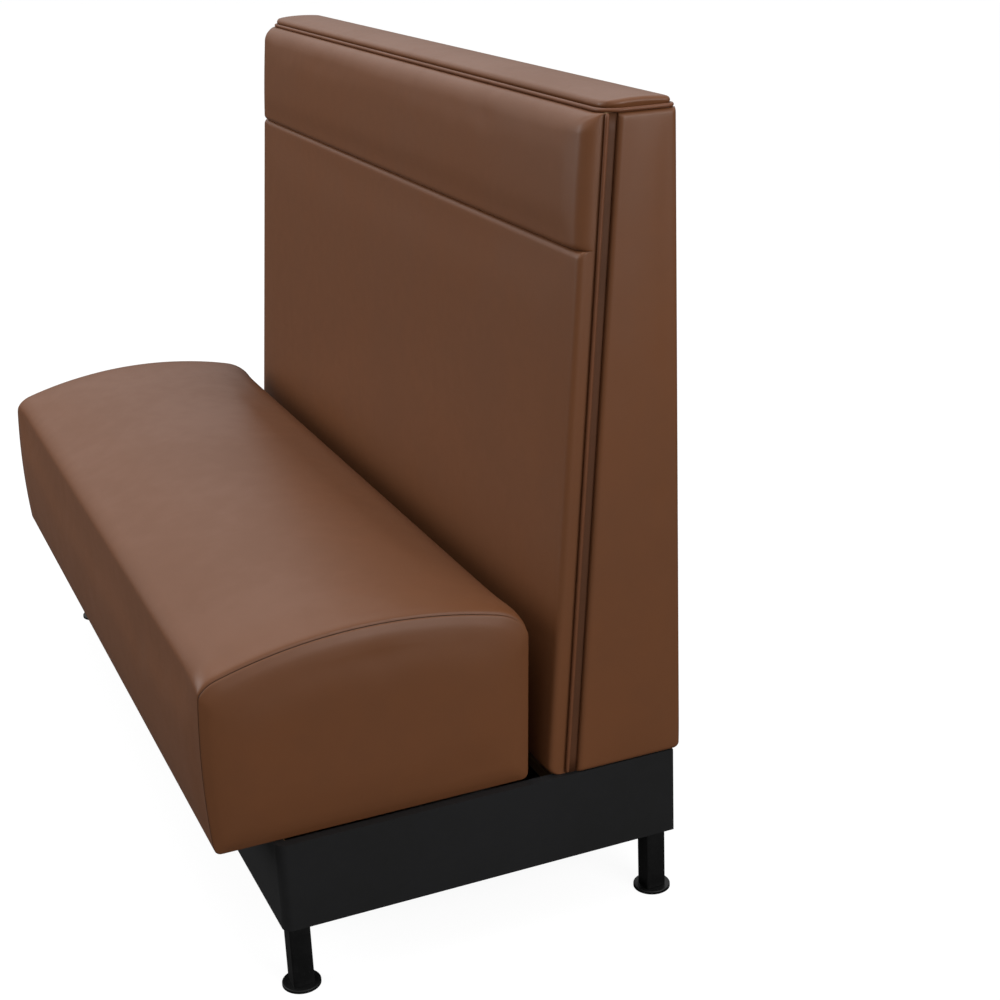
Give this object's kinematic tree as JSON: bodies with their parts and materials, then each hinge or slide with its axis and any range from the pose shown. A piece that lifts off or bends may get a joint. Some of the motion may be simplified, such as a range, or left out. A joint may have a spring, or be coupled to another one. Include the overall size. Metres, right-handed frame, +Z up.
{
  "type": "restaurant booth bench",
  "caption": "Single-sided restaurant booth bench with a crowned lift-off seat, a high tapered back with a headroll, a black plinth and levelling legs.",
  "frame": {"origin": "on the floor under the middle of the overall length and depth", "axes": "+X along the bench to the right as seen from the front, -Y towards the sitter's side, +Z up"},
  "size_m": [1.537, 0.724, 1.219],
  "materials": {
    "brown_vinyl": "satin",
    "black_wrap": "satin",
    "black_steel": "satin",
    "plywood": "matte",
    "softwood": "matte",
    "hardboard": "matte",
    "seat_foam": "matte",
    "insulator_felt": "matte",
    "dust_cloth": "matte",
    "zinc_steel": "satin",
    "spring_steel": "satin"
  },
  "bodies": {
    "frame": {"back_bolts": "zinc_steel", "back_bottom_rails": "softwood", "back_end_boards": "plywood", "back_front_panel": "plywood", "back_middle_rails": "softwood", "back_rear_panel": "hardboard", "back_top_board": "plywood", "back_uprights": "plywood", "back_washers": "zinc_steel", "base_bearer": "softwood", "base_corner_blocks": "softwood", "base_cross_rails": "softwood", "base_dust_cover": "dust_cloth", "base_end_boards": "plywood", "base_front_board": "plywood", "base_rear_board": "plywood", "base_wrap": "black_wrap", "end_cover_left": "brown_vinyl", "end_cover_right": "brown_vinyl", "end_foams": "seat_foam", "headroll_cover": "brown_vinyl", "headroll_foam": "seat_foam", "leg_front_left": "black_steel", "leg_front_right": "black_steel", "leg_plate_screws": "zinc_steel", "leg_plates": "black_steel", "leg_rear_left": "black_steel", "leg_rear_right": "black_steel", "leg_thread_inserts": "zinc_steel", "lower_back_cover": "brown_vinyl", "lower_back_foam": "seat_foam", "outside_back_cover": "brown_vinyl", "side_welts": "brown_vinyl", "top_cap_cover": "brown_vinyl", "top_cap_foam": "seat_foam", "top_welt": "brown_vinyl"},
    "seat": {"seat_border_foams": "seat_foam", "seat_cleats": "softwood", "seat_corner_blocks": "softwood", "seat_cover": "brown_vinyl", "seat_dust_cover": "dust_cloth", "seat_end_boards": "plywood", "seat_end_cover_left": "brown_vinyl", "seat_end_cover_right": "brown_vinyl", "seat_end_foams": "seat_foam", "seat_foam": "seat_foam", "seat_front_rail": "plywood", "seat_insulator": "insulator_felt", "seat_rear_rail": "plywood", "seat_spring_clips": "zinc_steel", "seat_springs": "spring_steel", "seat_stretchers": "softwood"},
    "disc_front_left": {"foot_disc_front_left": "black_steel"},
    "stem_front_left": {"foot_stem_front_left": "zinc_steel"},
    "disc_rear_left": {"foot_disc_rear_left": "black_steel"},
    "stem_rear_left": {"foot_stem_rear_left": "zinc_steel"},
    "disc_front_right": {"foot_disc_front_right": "black_steel"},
    "stem_front_right": {"foot_stem_front_right": "zinc_steel"},
    "disc_rear_right": {"foot_disc_rear_right": "black_steel"},
    "stem_rear_right": {"foot_stem_rear_right": "zinc_steel"}
  },
  "joints": [
    {"name": "seat_lift", "type": "slide", "parent": "frame", "child": "seat", "axis": [0, 0, 1], "range_m": [0, 0.1]},
    {"name": "foot_level_front_left", "type": "slide", "parent": "frame", "child": "disc_front_left", "axis": [0, 0, -1], "range_m": [0, 0.012]},
    {"name": "foot_screw_front_left", "type": "hinge", "parent": "disc_front_left", "child": "stem_front_left", "pos_m": [-0.74, -0.251, 0.01], "axis": [0, 0, -1], "range_deg": [0, 2880]},
    {"name": "foot_level_rear_left", "type": "slide", "parent": "frame", "child": "disc_rear_left", "axis": [0, 0, -1], "range_m": [0, 0.012]},
    {"name": "foot_screw_rear_left", "type": "hinge", "parent": "disc_rear_left", "child": "stem_rear_left", "pos_m": [-0.74, 0.321, 0.01], "axis": [0, 0, -1], "range_deg": [0, 2880]},
    {"name": "foot_level_front_right", "type": "slide", "parent": "frame", "child": "disc_front_right", "axis": [0, 0, -1], "range_m": [0, 0.012]},
    {"name": "foot_screw_front_right", "type": "hinge", "parent": "disc_front_right", "child": "stem_front_right", "pos_m": [0.74, -0.251, 0.01], "axis": [0, 0, -1], "range_deg": [0, 2880]},
    {"name": "foot_level_rear_right", "type": "slide", "parent": "frame", "child": "disc_rear_right", "axis": [0, 0, -1], "range_m": [0, 0.012]},
    {"name": "foot_screw_rear_right", "type": "hinge", "parent": "disc_rear_right", "child": "stem_rear_right", "pos_m": [0.74, 0.321, 0.01], "axis": [0, 0, -1], "range_deg": [0, 2880]}
  ],
  "couplings": [
    {"joint": "foot_screw_front_left", "follows": "foot_level_front_left", "rad_per_m": 4188.8},
    {"joint": "foot_screw_rear_left", "follows": "foot_level_rear_left", "rad_per_m": 4188.8},
    {"joint": "foot_screw_front_right", "follows": "foot_level_front_right", "rad_per_m": 4188.8},
    {"joint": "foot_screw_rear_right", "follows": "foot_level_rear_right", "rad_per_m": 4188.8}
  ]
}
